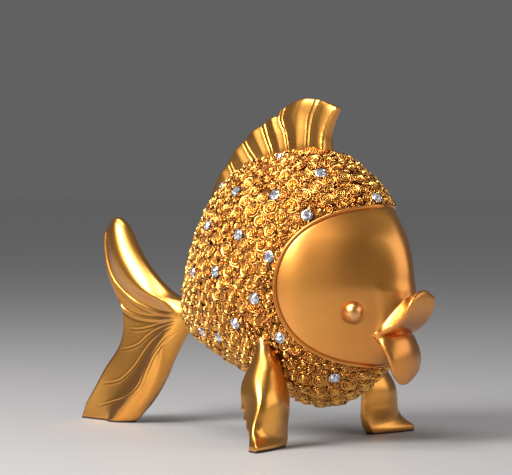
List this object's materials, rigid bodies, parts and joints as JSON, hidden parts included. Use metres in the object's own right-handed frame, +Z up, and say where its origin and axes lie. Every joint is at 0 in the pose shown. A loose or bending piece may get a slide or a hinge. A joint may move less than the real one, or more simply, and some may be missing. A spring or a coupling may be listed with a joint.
{
  "type": "fish figurine",
  "caption": "Free-standing gold fish ornament with a rose-covered hollow body, a smooth round face, flared lips and fins that serve as feet.",
  "frame": {"origin": "on the surface that the figure stands on, under the middle of its bounding box", "axes": "+X from tail to nose, +Y to the fish's left, +Z up"},
  "size_m": [0.2344, 0.1316, 0.1749],
  "materials": {
    "gold_relief": "cast resin in rose relief under antiqued metallic gold paint",
    "gold_face": "smooth cast resin under satin metallic gold paint",
    "gold_eyes": "satin metallic gold paint, slightly coppery",
    "gold_lips": "smooth cast resin under satin metallic gold paint",
    "gold_fins": "smooth cast resin under satin metallic gold paint",
    "crystal": "clear faceted stone with a foiled back",
    "cup_metal": "polished cup",
    "pin_steel": "plain drawn rod",
    "felt": "thin dark felt"
  },
  "bodies": {
    "root": {"body_shell": "gold_relief", "rosettes": "gold_relief", "face_mask": "gold_face", "face_rim": "gold_face", "right_eye": "gold_eyes", "left_eye": "gold_eyes", "upper_lip": "gold_lips", "lower_lip": "gold_lips", "dorsal_fin": "gold_fins", "tail_fin": "gold_fins", "right_pectoral_fin": "gold_fins", "left_pectoral_fin": "gold_fins", "rhinestones": "crystal", "stone_cups": "cup_metal", "dorsal_pins": "pin_steel", "tail_pin": "pin_steel", "right_leg_pin": "pin_steel", "left_leg_pin": "pin_steel", "tail_foot_pad": "felt", "right_foot_pad": "felt", "left_foot_pad": "felt"}
  },
  "joints": []
}
